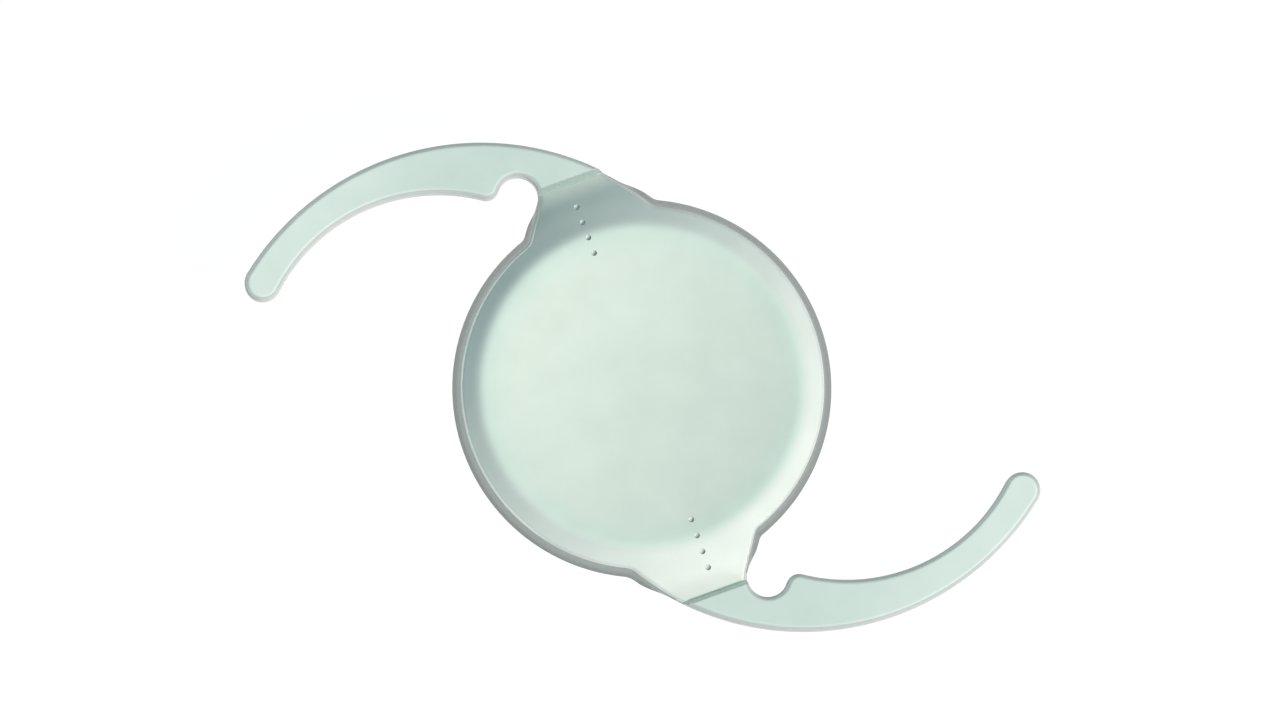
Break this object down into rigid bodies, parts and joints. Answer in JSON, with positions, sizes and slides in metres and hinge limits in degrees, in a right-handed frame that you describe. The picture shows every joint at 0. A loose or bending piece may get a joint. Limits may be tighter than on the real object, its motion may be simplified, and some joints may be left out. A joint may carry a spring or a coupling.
{
  "type": "intraocular lens",
  "caption": "One-piece soft acrylic lens implant for the eye: a round biconvex optic with a stepped shoulder and a swept spring arm on each side.",
  "frame": {"origin": "on the optical axis, at the lowest point of the posterior face", "axes": "+Z along the optical axis, out of the anterior face; +X along the longest extent, so the arms' tips are near the X ends; +Y completes the right-handed frame"},
  "size_m": [0.0126, 0.0078, 0.0009],
  "materials": {
    "acrylic": "clear soft acrylic, gloss on the optic and satin on the arms"
  },
  "bodies": {
    "root": {"lens_body": "acrylic"}
  },
  "joints": []
}
